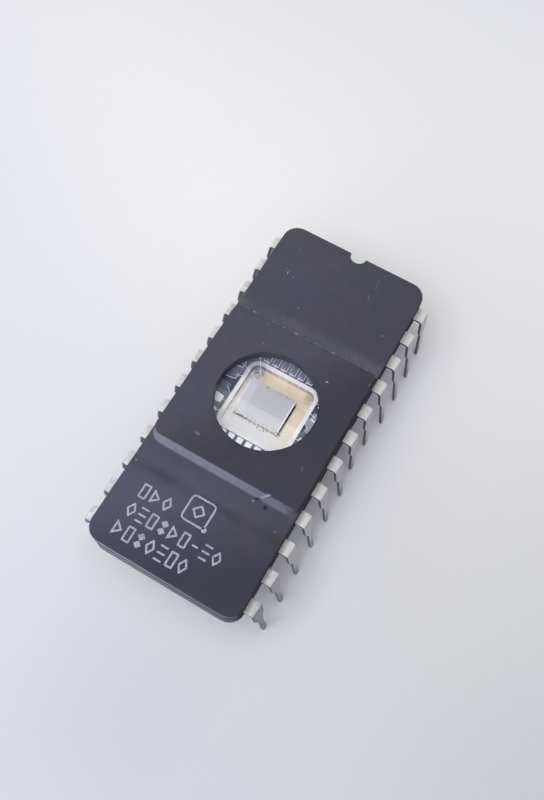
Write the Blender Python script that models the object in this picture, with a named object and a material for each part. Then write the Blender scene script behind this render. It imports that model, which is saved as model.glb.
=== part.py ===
"""A windowed ceramic memory chip with 24 leads.

+X runs across the width, +Y along the length towards the notch at the pin 1 end, and +Z up.
The origin is on the surface that the lead tips stand on, under the middle of the body.
The sizes below are in millimetres and degrees, and the model itself is in metres.
"""
from math import asin, cos, pi, radians, sin, tan

import bmesh
import bpy
from mathutils import Vector

MM = 0.001

# Fit of the pieces: the hairline left between neighbours that are fused or laid together
SEAM = 0.01

# Leads
PITCH = 2.54
LEADS_PER_SIDE = 12
LEAD_THICKNESS = 0.25
SHOULDER_WIDTH = 1.22
SHOULDER_OVERHANG = 0.45
BEND_RADIUS = 0.30
SPLAY = 8.2
TAPER_LENGTH = 1.30
TAPER_ABOVE_UNDERSIDE = 0.25
LEG_WIDTH = 0.46
TIP_WIDTH = 0.32
TIP_POINT_HEIGHT = 0.35
# Handling has pushed these leads inward from the common splay, by pin number
LEAN_BY_PIN = {13: -0.8, 19: -3.2, 20: -3.2, 23: -1.2, 24: -3.0}

# Fingers, the inner ends of the leads
FINGERS_PER_END = 7
FINGER_WIDTH = 0.54
END_FINGER_GAP = 0.08
END_FINGER_PITCH = 0.78
DIAGONAL_RUN = 1.80
SIDE_FINGER_GAP = 0.25
SIDE_FINGER_PITCH = 1.17
SIDE_TIP_WIDTH = 0.62
SIDE_FINGER_WIDTH = 0.80
SIDE_KNEE_REACH = 0.80
SIDE_KNEE_STEP = 0.40
ROOT_INSET = 0.70
ROOT_TAPER = 0.60

# Ceramic body
UNDERSIDE_HEIGHT = 4.35
BODY_WIDTH = 13.10
BODY_LENGTH = 31.40
CORNER_RADIUS = 1.30
NOTCH_RADIUS = 0.70
EDGE_ROUND = 0.09
BASE_THICKNESS = 1.65
BASE_INSET = 0.02
SEAL_INSET = 0.06
SEAL_SKIN = 0.04
LID_END_THICKNESS = 1.13

# Raised block across the lid
BLOCK_LENGTH = 12.83
BLOCK_Y = -0.10
BLOCK_RISE = 0.55
BLOCK_CORNER_RADIUS = 0.80
BLOCK_SIDE_INSET = 0.045
BEVEL_ANGLE = 48.0
BEVEL_CREST_RADIUS = 0.06
BEVEL_FOOT_RADIUS = 0.15
BLOCK_ROOT_DEPTH = 0.30

# Damage at the block's near bevel: a groove across it, and a pit at its foot
GROOVE_X = 3.67
GROOVE_SLANT = 40.0
GROOVE_WIDTH = 0.34
GROOVE_DEPTH = 0.09
PIT_X = 4.15
PIT_REACH = 0.22
PIT_RADIUS = 0.17
PIT_DEPTH = 0.12
# The pit's cone runs from its blunt point to a mouth well above the surface, as shares of its radius
PIT_POINT_SHARE = 0.2
PIT_MOUTH_SHARE = 2.0

# Window, and the recess under the lid that clears the bond wires
WINDOW_RADIUS = 4.185
LENS_THICKNESS = 1.24
LENS_EDGE_ROUND = 0.05
RECESS_SIZE = 9.60
RECESS_DEPTH = 0.43
RECESS_CORNER_RADIUS = 1.40
FINGER_STAND = 0.07

# Die cavity and its metal lining
CAVITY_WIDTH = 5.70
CAVITY_LENGTH = 5.84
CAVITY_X = 0.10
CAVITY_Y = 0.12
CAVITY_DEPTH = 0.60
CAVITY_CORNER_RADIUS = 0.65
PLATING_THICKNESS = 0.05
RIM_WIDTH = 0.35

# Die and its attach layer
DIE_WIDTH = 4.00
DIE_LENGTH = 3.20
DIE_THICKNESS = 0.40
DIE_X = -0.20
DIE_Y = 0.18
ATTACH_THICKNESS = 0.04
ATTACH_MARGIN = 0.06

# Bond wires
WIRE_DIAMETER = 0.045
WIRE_LOOP_RISE = 0.16
WIRE_FOOT = 0.10
PAD_PITCH = 0.33
PAD_INSET = 0.13
FINGER_BOND_INSET = 0.22

# Fineness of the round forms
CORNER_STEPS = 6
NOTCH_STEPS = 10
ROUND_STEPS = 2
FOOT_STEPS = 4
WINDOW_SIDES = 64
PIT_SIDES = 7
BEND_STEPS = 6
TAPER_STEPS = 4
WIRE_STEPS = 7

# Heights, stacked from the underside of the base
BASE_TOP = UNDERSIDE_HEIGHT + BASE_THICKNESS
SEAL_BOTTOM = BASE_TOP + SEAM
LEAD_BOTTOM = SEAL_BOTTOM + SEAL_SKIN + SEAM
LEAD_MIDDLE = LEAD_BOTTOM + LEAD_THICKNESS / 2
LEAD_TOP = LEAD_BOTTOM + LEAD_THICKNESS
SEAL_TOP = LEAD_TOP + SEAM + SEAL_SKIN
LID_BOTTOM = SEAL_TOP + SEAM
LID_END_TOP = LID_BOTTOM + LID_END_THICKNESS
BLOCK_TOP = LID_END_TOP + BLOCK_RISE
PLATING_FLOOR_TOP = BASE_TOP - CAVITY_DEPTH + PLATING_THICKNESS
ATTACH_BOTTOM = PLATING_FLOOR_TOP + SEAM
DIE_BOTTOM = ATTACH_BOTTOM + ATTACH_THICKNESS + SEAM
DIE_TOP = DIE_BOTTOM + DIE_THICKNESS

# Places across the body
BEND_START = BODY_WIDTH / 2 + SHOULDER_OVERHANG
ROOT_X = BODY_WIDTH / 2 - ROOT_INSET
RIM_HALF_WIDTH = CAVITY_WIDTH / 2 + RIM_WIDTH
RIM_HALF_LENGTH = CAVITY_LENGTH / 2 + RIM_WIDTH
LEADS_PER_QUARTER = LEADS_PER_SIDE // 2
FEWEST_END_FINGERS = FINGERS_PER_END // 2


def clear_scene():
    for item in list(bpy.data.objects):
        bpy.data.objects.remove(item, do_unlink=True)


def make_material(name, colour, roughness, metallic=0.0, transmission=0.0):
    material = bpy.data.materials.new(name)
    material.use_nodes = True
    shader = material.node_tree.nodes["Principled BSDF"]
    shader.inputs["Base Color"].default_value = (*colour, 1.0)
    shader.inputs["Roughness"].default_value = roughness
    shader.inputs["Metallic"].default_value = metallic
    shader.inputs["Transmission Weight"].default_value = transmission
    return material


# Outlines in plan, as lists of (x, y) that run anticlockwise

def arc(centre_x, centre_y, radius, start, end, steps):
    angles = [start + (end - start) * step / steps for step in range(steps + 1)]
    return [(centre_x + radius * cos(a), centre_y + radius * sin(a)) for a in angles]


def rounded_rectangle(half_width, half_length, radius, notch=()):
    """A rectangle with round corners; notch holds points cut into its +Y side, from right to left."""
    x = half_width - radius
    y = half_length - radius
    outline = arc(x, -y, radius, -pi / 2, 0, CORNER_STEPS)
    outline += arc(x, y, radius, 0, pi / 2, CORNER_STEPS)
    outline += notch
    outline += arc(-x, y, radius, pi / 2, pi, CORNER_STEPS)
    outline += arc(-x, -y, radius, pi, 3 * pi / 2, CORNER_STEPS)
    return outline


def package_outline(grow):
    """The body's plan with its notch, grown outward by so much, or shrunk if it is negative."""
    notch_radius = NOTCH_RADIUS - grow
    lip = asin(grow / notch_radius)
    notch = arc(0, BODY_LENGTH / 2, notch_radius, lip, -pi - lip, NOTCH_STEPS)
    return rounded_rectangle(BODY_WIDTH / 2 + grow, BODY_LENGTH / 2 + grow, CORNER_RADIUS + grow, notch)


# Solids, each lofted through rings of points

def lift(outline, height):
    return [Vector((x, y, height)) for x, y in outline]


def loft(name, rings, origin=(0, 0, 0)):
    """A closed mesh through rings of equal length, with both ends capped, placed about its origin."""
    shape = bmesh.new()
    offset = Vector(origin)
    loops = [[shape.verts.new((point - offset) * MM) for point in ring] for ring in rings]
    for low, high in zip(loops, loops[1:]):
        for i in range(len(low)):
            j = (i + 1) % len(low)
            shape.faces.new((low[i], low[j], high[j], high[i]))
    shape.faces.new(loops[0])
    shape.faces.new(loops[-1])
    bmesh.ops.recalc_face_normals(shape, faces=shape.faces)
    mesh = bpy.data.meshes.new(name)
    shape.to_mesh(mesh)
    shape.free()
    return mesh


def edge_levels(low, high, radius):
    """Pairs of inset and height up a wall whose top and bottom edges are rounded."""
    turns = [pi / 2 * step / ROUND_STEPS for step in range(ROUND_STEPS + 1)]
    curve = [(radius * (1 - cos(turn)), radius * (1 - sin(turn))) for turn in turns]
    bottom = [(inset, low + drop) for inset, drop in reversed(curve)]
    top = [(inset, high - drop) for inset, drop in curve]
    return bottom + top


def add_object(name, data, material, parent, origin=(0, 0, 0)):
    item = bpy.data.objects.new(name, data)
    item.data.materials.append(material)
    item.location = Vector(origin) * MM
    item.parent = parent
    bpy.context.collection.objects.link(item)
    return item


def add_cutter(name, mesh, parent):
    cutter = bpy.data.objects.new(name, mesh)
    cutter.parent = parent
    cutter.hide_render = True
    cutter.display_type = "WIRE"
    bpy.context.collection.objects.link(cutter)
    return cutter


def combine(item, other, operation):
    modifier = item.modifiers.new(other.name, "BOOLEAN")
    modifier.operation = operation
    modifier.object = other


def prism(name, outline, low, high):
    return loft(name, [lift(outline, low), lift(outline, high)])


def circle_outline(radius):
    return arc(0, 0, radius, 0, 2 * pi, WINDOW_SIDES)[:-1]


# Ceramic base, sealing glass and lid

def moved(outline, x, y):
    return [(point_x + x, point_y + y) for point_x, point_y in outline]


def cavity_outline(grow):
    outline = rounded_rectangle(CAVITY_WIDTH / 2 + grow, CAVITY_LENGTH / 2 + grow, CAVITY_CORNER_RADIUS + grow)
    return moved(outline, CAVITY_X, CAVITY_Y)


def make_base(parent, ceramic):
    levels = edge_levels(UNDERSIDE_HEIGHT, BASE_TOP, EDGE_ROUND)
    rings = [lift(package_outline(-BASE_INSET - inset), height) for inset, height in levels]
    base = add_object("ceramic_base", loft("ceramic_base", rings), ceramic, parent)
    floor = BASE_TOP - CAVITY_DEPTH - SEAM
    pocket = prism("cut_cavity", cavity_outline(PLATING_THICKNESS + SEAM), floor, LID_END_TOP)
    combine(base, add_cutter("cut_cavity", pocket, parent), "DIFFERENCE")
    return base


def recess_outline():
    return rounded_rectangle(RECESS_SIZE / 2, RECESS_SIZE / 2, RECESS_CORNER_RADIUS)


def make_seal(parent, glass):
    """The glass layer: whole round the leads at the sides, and a lower shelf round the bare finger tips."""
    layer = prism("seal_glass", package_outline(-SEAL_INSET), SEAL_BOTTOM, SEAL_TOP)
    seal = add_object("seal_glass", layer, glass, parent)
    shelf = prism("cut_shelf", recess_outline(), LEAD_TOP - FINGER_STAND, BLOCK_TOP)
    combine(seal, add_cutter("cut_shelf", shelf, parent), "DIFFERENCE")
    well_outline = cavity_outline(RIM_WIDTH + SEAM)
    well = prism("cut_well", well_outline, UNDERSIDE_HEIGHT, BLOCK_TOP)
    combine(seal, add_cutter("cut_well", well, parent), "DIFFERENCE")
    for pin, side, end, index in all_leads():
        name = f"cut_channel_{pin:02d}"
        channel = loft(name, flat_rings(finger_path(index, side, end, SEAM), SEAM, side, end))
        combine(seal, add_cutter(name, channel, parent), "DIFFERENCE")
    return seal


def bevel_profile():
    """The block's end in section: pairs of reach past the block's top and height, from foot to crest."""
    slope = radians(BEVEL_ANGLE)
    foot_rise = BEVEL_FOOT_RADIUS * (1 - cos(slope))
    crest_drop = BEVEL_CREST_RADIUS * (1 - cos(slope))
    straight_run = (BLOCK_RISE - foot_rise - crest_drop) / tan(slope)
    crest_run = BEVEL_CREST_RADIUS * sin(slope)
    foot_start = crest_run + straight_run + BEVEL_FOOT_RADIUS * sin(slope)
    profile = []
    for step in range(FOOT_STEPS + 1):
        turn = slope * step / FOOT_STEPS
        reach = foot_start - BEVEL_FOOT_RADIUS * sin(turn)
        profile.append((reach, LID_END_TOP + BEVEL_FOOT_RADIUS * (1 - cos(turn))))
    for step in range(ROUND_STEPS, -1, -1):
        turn = slope * step / ROUND_STEPS
        reach = BEVEL_CREST_RADIUS * sin(turn)
        profile.append((reach, BLOCK_TOP - BEVEL_CREST_RADIUS * (1 - cos(turn))))
    return profile


def block_outline(reach):
    """The block's plan so far down its bevel; only its ends spread, because its sides are the body's."""
    share = reach / bevel_profile()[0][0]
    side_inset = BLOCK_SIDE_INSET + EDGE_ROUND * (1 - share)
    half_width = BODY_WIDTH / 2 - side_inset
    outline = rounded_rectangle(half_width, BLOCK_LENGTH / 2 + reach, BLOCK_CORNER_RADIUS + reach / 2)
    return moved(outline, 0, BLOCK_Y)


def groove_rings():
    """A slanted V across the near bevel, as triangles square to it below the foot and above the crest."""
    slope = radians(BEVEL_ANGLE)
    normal = Vector((0, -sin(slope), cos(slope)))
    uphill = Vector((0, cos(slope), sin(slope)))
    along = (uphill * cos(radians(GROOVE_SLANT)) + Vector((sin(radians(GROOVE_SLANT)), 0, 0))).normalized()
    across = along.cross(normal)
    half_run = BLOCK_RISE / tan(slope) / 2
    middle = Vector((GROOVE_X, BLOCK_Y - BLOCK_LENGTH / 2 - half_run, LID_END_TOP + BLOCK_RISE / 2))
    reach = BLOCK_RISE / sin(slope)
    rings = []
    for step in (-reach, reach):
        centre = middle + along * step
        wide = across * GROOVE_WIDTH
        rings.append([centre - normal * GROOVE_DEPTH, centre + normal * GROOVE_DEPTH + wide,
                      centre + normal * GROOVE_DEPTH - wide])
    return rings


def pit_rings():
    """A cone, point down, whose circle of PIT_RADIUS lies on the lid's end surface."""
    foot_y = BLOCK_Y - BLOCK_LENGTH / 2 - bevel_profile()[0][0]
    rings = []
    for share in (PIT_POINT_SHARE, PIT_MOUTH_SHARE):
        circle = arc(0, 0, PIT_RADIUS * share, 0, 2 * pi, PIT_SIDES)[:-1]
        height = LID_END_TOP - PIT_DEPTH * (1 - share)
        rings.append(lift(moved(circle, PIT_X, foot_y - PIT_REACH), height))
    return rings


def make_lid(parent, ceramic):
    levels = edge_levels(LID_BOTTOM, LID_END_TOP, EDGE_ROUND)
    rings = [lift(package_outline(-inset), height) for inset, height in levels]
    lid = add_object("ceramic_lid", loft("ceramic_lid", rings), ceramic, parent)
    profile = bevel_profile()
    foot_reach = profile[0][0]
    rings = [lift(block_outline(foot_reach), LID_END_TOP - BLOCK_ROOT_DEPTH)]
    rings += [lift(block_outline(reach), height) for reach, height in profile]
    combine(lid, add_cutter("raised_block", loft("raised_block", rings), parent), "UNION")
    hole = prism("cut_window", circle_outline(WINDOW_RADIUS), BASE_TOP, BLOCK_TOP + BLOCK_RISE)
    combine(lid, add_cutter("cut_window", hole, parent), "DIFFERENCE")
    recess = prism("cut_recess", recess_outline(), BASE_TOP, LID_BOTTOM + RECESS_DEPTH)
    combine(lid, add_cutter("cut_recess", recess, parent), "DIFFERENCE")
    for name, cut in (("cut_groove", groove_rings()), ("cut_pit", pit_rings())):
        combine(lid, add_cutter(name, loft(name, cut), parent), "DIFFERENCE")
    return lid


def make_lens(parent, clear_glass):
    bottom = BLOCK_TOP - LENS_THICKNESS
    levels = edge_levels(bottom, BLOCK_TOP, LENS_EDGE_ROUND)
    rings = [lift(circle_outline(WINDOW_RADIUS - SEAM - inset), height) for inset, height in levels]
    origin = (0, 0, bottom)
    lens = add_object("window_lens", loft("window_lens", rings, origin), clear_glass, parent, origin)
    lens.data.shade_smooth()
    lens.data.set_sharp_from_angle(angle=radians(50))
    return lens


# Cavity lining and die

def make_plating(parent, metal):
    """One thin tray: its floor and walls line the cavity and its rim lies on the base around it."""
    rim_bottom = BASE_TOP + SEAM
    rim_top = rim_bottom + PLATING_THICKNESS
    floor_bottom = BASE_TOP - CAVITY_DEPTH
    rings = [
        lift(cavity_outline(PLATING_THICKNESS), floor_bottom),
        lift(cavity_outline(PLATING_THICKNESS), rim_bottom),
        lift(cavity_outline(RIM_WIDTH), rim_bottom),
        lift(cavity_outline(RIM_WIDTH), rim_top),
        lift(cavity_outline(0), rim_top),
        lift(cavity_outline(0), PLATING_FLOOR_TOP),
    ]
    return add_object("cavity_plating", loft("cavity_plating", rings), metal, parent)


def slab_mesh(name, width, length, thickness):
    x = width / 2
    y = length / 2
    return prism(name, [(x, -y), (x, y), (-x, y), (-x, -y)], 0, thickness)


def make_die(parent, paste, silicon):
    attach = slab_mesh("die_attach", DIE_WIDTH + 2 * ATTACH_MARGIN, DIE_LENGTH + 2 * ATTACH_MARGIN,
                       ATTACH_THICKNESS)
    add_object("die_attach", attach, paste, parent, (DIE_X, DIE_Y, ATTACH_BOTTOM))
    die = slab_mesh("silicon_die", DIE_WIDTH, DIE_LENGTH, DIE_THICKNESS)
    add_object("silicon_die", die, silicon, parent, (DIE_X, DIE_Y, DIE_BOTTOM))


# Leads

def all_leads():
    """Pin number, side (-1 left, 1 right), end (1 notch end), and index from the end lead inward."""
    for index in range(LEADS_PER_QUARTER):
        yield index + 1, -1, 1, index
        yield LEADS_PER_SIDE - index, -1, -1, index
        yield LEADS_PER_SIDE + 1 + index, 1, -1, index
        yield 2 * LEADS_PER_SIDE - index, 1, 1, index


def lead_y(index):
    return ((LEADS_PER_SIDE - 1) / 2 - index) * PITCH


def end_fingers(side, end):
    """Fingers of a quarter that reach the cavity's end; the odd one comes from two opposite quarters."""
    return FEWEST_END_FINGERS if side == end else FINGERS_PER_END - FEWEST_END_FINGERS


def bond_point(index, side, end):
    """Where a finger ends at the cavity's rim, and the unit step outward, both as in the +X +Y quarter."""
    fingers = end_fingers(side, end)
    if index < fingers:
        tip_y = RIM_HALF_LENGTH + END_FINGER_GAP + CAVITY_Y * end
        return (index + 0.5) * END_FINGER_PITCH, tip_y, (0, 1)
    row = LEADS_PER_QUARTER - 1 - index + fingers - FEWEST_END_FINGERS
    return RIM_HALF_WIDTH + SIDE_FINGER_GAP + CAVITY_X * side, row * SIDE_FINGER_PITCH, (1, 0)


def finger_path(index, side, end, grow=0.0):
    """The flat of a lead as in the +X +Y quarter, as (x, y, width) from its tip out to its bend."""
    tip_x, tip_y, (step_x, step_y) = bond_point(index, side, end)
    width = FINGER_WIDTH + 2 * grow
    shoulder_width = SHOULDER_WIDTH + 2 * grow
    y = lead_y(index)
    start = (tip_x - grow * step_x, tip_y - grow * step_y)
    if index < end_fingers(side, end):
        path = [(*start, width)]
        path.append((tip_x, y - DIAGONAL_RUN, width))
        path.append((tip_x + DIAGONAL_RUN, y, width))
    else:
        knee = SIDE_KNEE_REACH + SIDE_KNEE_STEP * (index - FEWEST_END_FINGERS)
        path = [(*start, SIDE_TIP_WIDTH + 2 * grow)]
        path.append((tip_x + knee / 2, tip_y, SIDE_FINGER_WIDTH + 2 * grow))
        path.append((tip_x + knee, tip_y, width))
    path.append((ROOT_X - ROOT_TAPER, y, width))
    path.append((ROOT_X, y, shoulder_width))
    path.append((BEND_START, y, shoulder_width))
    return path


def flat_rings(path, grow, side, end):
    """Four-point sections along a flat strip, with mitred corners, moved to its own quarter."""
    half_thickness = LEAD_THICKNESS / 2 + grow
    steps = [Vector((b[0] - a[0], b[1] - a[1])).normalized() for a, b in zip(path, path[1:])]
    rings = []
    for i, (x, y, width) in enumerate(path):
        before = steps[max(i - 1, 0)]
        after = steps[min(i, len(steps) - 1)]
        along = (before + after).normalized()
        reach = width / 2 / along.dot(after)
        across = Vector((-along.y, along.x)) * reach
        corners = []
        for sign in (1, -1):
            for level in (sign * half_thickness, -sign * half_thickness):
                corners.append(Vector(((x + sign * across.x) * side, (y + sign * across.y) * end,
                                       LEAD_MIDDLE + level)))
        rings.append(corners)
    return rings


def leg_sections(splay):
    """Middle x, height, half width, and outward normal down the bend and leg, from bend to tip."""
    turn_end = pi / 2 - radians(splay)
    bend_z = LEAD_MIDDLE - BEND_RADIUS
    sections = []
    for step in range(1, BEND_STEPS + 1):
        turn = turn_end * step / BEND_STEPS
        normal = (sin(turn), cos(turn))
        sections.append((BEND_START + BEND_RADIUS * normal[0], bend_z + BEND_RADIUS * normal[1],
                         SHOULDER_WIDTH / 2, normal))
    top_x, top_z, _, normal = sections[-1]
    taper_top = UNDERSIDE_HEIGHT + TAPER_ABOVE_UNDERSIDE
    heights = []
    for step in range(TAPER_STEPS + 1):
        share = step / TAPER_STEPS
        narrowed = share * share * (3 - 2 * share)
        width = SHOULDER_WIDTH + (LEG_WIDTH - SHOULDER_WIDTH) * narrowed
        heights.append((taper_top - TAPER_LENGTH * share, width))
    heights.append((TIP_POINT_HEIGHT, LEG_WIDTH))
    for z, width in heights:
        x = top_x + (top_z - z) * tan(radians(splay))
        sections.append((x, z, width / 2, normal))
    tip_x = top_x + top_z * tan(radians(splay))
    sections.append((tip_x, 0.0, TIP_WIDTH / 2, (1 / cos(radians(splay)), 0.0)))
    return sections


def make_lead(parent, tin, pin, side, end, index):
    rings = flat_rings(finger_path(index, side, end), 0.0, side, end)
    y = lead_y(index) * end
    half_thickness = LEAD_THICKNESS / 2
    for x, z, half_width, normal in leg_sections(SPLAY + LEAN_BY_PIN.get(pin, 0.0)):
        corners = []
        for sign in (-1, 1):
            for face in (-sign * half_thickness, sign * half_thickness):
                # The flat strip runs outward here, so its left edge is the +Y edge of the quarter
                corners.append(Vector(((x + face * normal[0]) * side, y - sign * half_width * end,
                                       z + face * normal[1])))
        rings.append(corners)
    name = f"lead_{pin:02d}"
    origin = (BEND_START * side, y, LEAD_MIDDLE)
    return add_object(name, loft(name, rings, origin), tin, parent, origin)


# Bond wires

def wire_points(index, side, end):
    """A wedge-bonded loop from a die pad to a finger, in whole-part coordinates."""
    tip_x, tip_y, (step_x, step_y) = bond_point(index, side, end)
    lift_off = SEAM + WIRE_DIAMETER / 2
    pad = Vector((DIE_X + (index + 0.5) * PAD_PITCH * side,
                  DIE_Y + (DIE_LENGTH / 2 - PAD_INSET) * end, DIE_TOP + lift_off))
    finger = Vector(((tip_x + FINGER_BOND_INSET * step_x) * side,
                     (tip_y + FINGER_BOND_INSET * step_y) * end, LEAD_TOP + lift_off))
    plan = Vector((finger.x - pad.x, finger.y - pad.y, 0)).normalized() * WIRE_FOOT
    start = pad + plan
    stop = finger - plan
    points = [pad]
    for step in range(WIRE_STEPS + 1):
        share = step / WIRE_STEPS
        point = start.lerp(stop, share)
        point.z += WIRE_LOOP_RISE * 4 * share * (1 - share)
        points.append(point)
    points.append(finger)
    return points


def make_wire(parent, aluminium, pin, side, end, index):
    points = wire_points(index, side, end)
    name = f"bond_wire_{pin:02d}"
    curve = bpy.data.curves.new(name, "CURVE")
    curve.dimensions = "3D"
    curve.bevel_depth = WIRE_DIAMETER / 2 * MM
    curve.bevel_resolution = 1
    curve.use_fill_caps = True
    spline = curve.splines.new("POLY")
    spline.points.add(len(points) - 1)
    for target, point in zip(spline.points, points):
        target.co = (*((point - points[0]) * MM), 1.0)
    return add_object(name, curve, aluminium, parent, points[0])


def main():
    clear_scene()
    chip = bpy.data.objects.new("chip", None)
    bpy.context.collection.objects.link(chip)
    ceramic = make_material("dark_ceramic", (0.065, 0.062, 0.078), 0.45)
    sealing_glass = make_material("sealing_glass", (0.10, 0.10, 0.13), 0.35)
    clear_glass = make_material("window_glass", (0.95, 0.96, 0.97), 0.02, transmission=1.0)
    lining = make_material("cavity_metal", (0.83, 0.72, 0.50), 0.30, metallic=0.8)
    paste = make_material("die_attach", (0.45, 0.42, 0.36), 0.55, metallic=0.4)
    silicon = make_material("silicon", (0.55, 0.56, 0.60), 0.22, metallic=0.5)
    tin = make_material("tinned_lead", (0.62, 0.62, 0.60), 0.38, metallic=0.9)
    aluminium = make_material("bond_wire", (0.80, 0.80, 0.80), 0.30, metallic=1.0)
    make_base(chip, ceramic)
    make_seal(chip, sealing_glass)
    make_lid(chip, ceramic)
    make_lens(chip, clear_glass)
    make_plating(chip, lining)
    make_die(chip, paste, silicon)
    for pin, side, end, index in all_leads():
        make_lead(chip, tin, pin, side, end, index)
        make_wire(chip, aluminium, pin, side, end, index)


main()
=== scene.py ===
from math import cos, pi, radians, sin
from random import Random

import bmesh
import bpy
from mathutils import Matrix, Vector


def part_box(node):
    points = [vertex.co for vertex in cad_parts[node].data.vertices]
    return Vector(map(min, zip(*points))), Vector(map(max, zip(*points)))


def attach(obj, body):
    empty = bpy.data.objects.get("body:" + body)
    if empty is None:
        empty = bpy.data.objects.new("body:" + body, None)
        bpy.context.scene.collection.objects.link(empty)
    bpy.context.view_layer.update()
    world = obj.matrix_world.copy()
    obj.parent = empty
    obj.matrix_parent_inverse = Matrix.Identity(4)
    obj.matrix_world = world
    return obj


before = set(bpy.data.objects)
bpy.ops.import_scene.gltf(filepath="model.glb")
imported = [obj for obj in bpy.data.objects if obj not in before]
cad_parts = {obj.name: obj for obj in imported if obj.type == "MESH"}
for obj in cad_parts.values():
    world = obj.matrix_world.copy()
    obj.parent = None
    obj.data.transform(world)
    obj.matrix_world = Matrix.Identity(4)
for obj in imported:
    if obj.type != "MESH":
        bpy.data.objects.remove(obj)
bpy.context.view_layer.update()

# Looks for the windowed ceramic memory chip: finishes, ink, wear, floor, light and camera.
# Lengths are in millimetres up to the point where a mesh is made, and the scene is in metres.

MM = 0.001
BODY = "root"


# Places read from the frame

def span(name):
    """A node's lowest and highest corners in millimetres."""
    low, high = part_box(name)
    return Vector(low) / MM, Vector(high) / MM


LID_LOW, LID_HIGH = span("ceramic_lid")
BASE_LOW, BASE_HIGH = span("ceramic_base")
DIE_LOW, DIE_HIGH = span("silicon_die")
PLATING_LOW, PLATING_HIGH = span("cavity_plating")
BLOCK_TOP = LID_HIGH.z
BLOCK_RISE = 0.55
END_TOP = BLOCK_TOP - BLOCK_RISE
HALF_WIDTH = LID_HIGH.x
CREST_FAR_Y = 6.315
CREST_NEAR_Y = -6.515
BEVEL_RUN = 0.56
FOOT_FAR_Y = CREST_FAR_Y + BEVEL_RUN
FOOT_NEAR_Y = CREST_NEAR_Y - BEVEL_RUN
# Middle of the groove across the near bevel, and the step across it in plan
GROOVE_PLACE = (3.67, (CREST_NEAR_Y + FOOT_NEAR_Y) / 2)
GROOVE_ACROSS = (-0.62, 0.78)
PIT_PLACE = (4.15, -7.30)
# The pale face of the near bevel, rubbed and painted with sheen, narrows to a tip below the line y = -0.36 x -
# BEVEL_TIP
BEVEL_TIP = 4.76


# Shader nodes

def join(tree, socket, value):
    """Feeds a socket from another socket, or sets it to a plain value."""
    if isinstance(value, bpy.types.NodeSocket):
        tree.links.new(value, socket)
    else:
        socket.default_value = value


def node(tree, kind, inputs, **settings):
    made = tree.nodes.new("ShaderNode" + kind)
    for name, value in settings.items():
        setattr(made, name, value)
    for name, value in inputs.items():
        join(tree, made.inputs[name], value)
    return made


def math_node(tree, operation, first, second=0.0):
    made = node(tree, "Math", {}, operation=operation)
    join(tree, made.inputs[0], first)
    join(tree, made.inputs[1], second)
    return made.outputs[0]


def times(tree, *values):
    result = values[0]
    for value in values[1:]:
        result = math_node(tree, "MULTIPLY", result, value)
    return result


def plus(tree, *values):
    result = values[0]
    for value in values[1:]:
        result = math_node(tree, "ADD", result, value)
    return result


def most(tree, *values):
    result = values[0]
    for value in values[1:]:
        result = math_node(tree, "MAXIMUM", result, value)
    return result


def blend(tree, share, first, second):
    """A colour between two others."""
    made = node(tree, "Mix", {}, data_type="RGBA")
    join(tree, made.inputs[0], share)
    join(tree, made.inputs[6], first)
    join(tree, made.inputs[7], second)
    return made.outputs[2]


def spread(tree, value, low, high, start=0.0, end=1.0):
    """Stretches the part of a value from low to high over start to end, and holds it outside."""
    made = node(tree, "MapRange", {"Value": value, "From Min": low, "From Max": high,
                                   "To Min": start, "To Max": end}, interpolation_type="SMOOTHSTEP")
    return made.outputs[0]


def band(tree, value, low, high, soft):
    """1 between two limits and 0 outside, over a soft edge."""
    rise = spread(tree, value, low - soft, low + soft)
    fall = spread(tree, value, high - soft, high + soft, 1.0, 0.0)
    return times(tree, rise, fall)


def millimetres(tree, stretch=(1, 1, 1), offset=(0, 0, 0)):
    """Object coordinates in millimetres, which stay with the part."""
    place = node(tree, "TexCoord", {})
    scale = tuple(s / MM for s in stretch)
    made = node(tree, "Mapping", {"Vector": place.outputs["Object"], "Scale": scale, "Location": offset})
    return made.outputs[0]


def axes(tree, where):
    return node(tree, "SeparateXYZ", {"Vector": where}).outputs


def facings(tree):
    """The x, y and z parts of the surface's own direction."""
    return axes(tree, node(tree, "TexCoord", {}).outputs["Normal"])


def facing_up(tree, low=0.55, high=0.85):
    """1 on a level face, 0 on an upright one."""
    return spread(tree, math_node(tree, "ABSOLUTE", facings(tree)[2]), low, high)


def noise(tree, where, size, detail=2.0, roughness=0.5):
    """Noise from 0 to 1 whose features are about size millimetres across."""
    made = node(tree, "TexNoise", {"Vector": where, "Scale": 1 / size, "Detail": detail,
                                   "Roughness": roughness})
    return made.outputs[0]


def spot(tree, x, y, centre, radius, soft):
    """A round mask about a point in plan."""
    across = math_node(tree, "SUBTRACT", x, centre[0])
    along = math_node(tree, "SUBTRACT", y, centre[1])
    reach = math_node(tree, "SQRT", plus(tree, times(tree, across, across), times(tree, along, along)))
    return spread(tree, reach, radius - soft, radius + soft, 1.0, 0.0)


def bump(tree, height, depth, normal=None):
    made = node(tree, "Bump", {"Height": height, "Strength": 1.0, "Distance": depth * MM})
    if normal is not None:
        tree.links.new(normal, made.inputs["Normal"])
    return made.outputs[0]


def new_material(name, **constants):
    """A material with its Principled shader; constants are set on the shader's own sockets."""
    material = bpy.data.materials.new(name)
    material.use_nodes = True
    shader = material.node_tree.nodes["Principled BSDF"]
    for socket, value in constants.items():
        shader.inputs[socket.replace("_", " ")].default_value = value
    return material, material.node_tree, shader


def colour(red, green, blue):
    return (red, green, blue, 1.0)


# Finishes

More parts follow.
